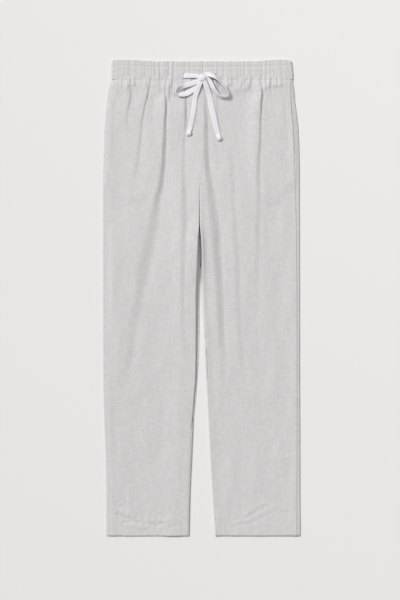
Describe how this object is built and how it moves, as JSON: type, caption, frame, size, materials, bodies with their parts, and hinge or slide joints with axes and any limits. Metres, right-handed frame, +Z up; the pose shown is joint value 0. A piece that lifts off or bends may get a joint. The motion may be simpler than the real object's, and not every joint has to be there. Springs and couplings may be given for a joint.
{
  "type": "linen drawstring trousers",
  "caption": "Straight linen trousers laid flat on their back, with a gathered elastic waistband, side pockets and a flat drawstring tied in a bow.",
  "frame": {"origin": "middle of the laid garment's outline, on the surface that it rests on", "axes": "+Y along the legs towards the waistband, +X towards the right-hand side as seen from above, +Z up out of the front"},
  "size_m": [0.4218, 1.0181, 0.0166],
  "materials": {
    "linen": "plain woven linen blend, pale heathered grey-beige, matt",
    "pocketing": "thin plain woven cotton, off-white, matt",
    "tape": "flat woven cotton tape, white, matt"
  },
  "bodies": {
    "root": {"back_left": "linen", "back_right": "linen", "front_left": "linen", "front_right": "linen", "waistband_back": "linen", "waistband_front": "linen", "pocket_bag_left": "pocketing", "pocket_bag_right": "pocketing", "strand_left": "tape", "strand_right": "tape", "loop_left": "tape", "loop_right": "tape", "tail_left": "tape", "tail_right": "tape", "bow_knot": "tape", "knot_left": "tape", "knot_right": "tape"}
  },
  "joints": []
}
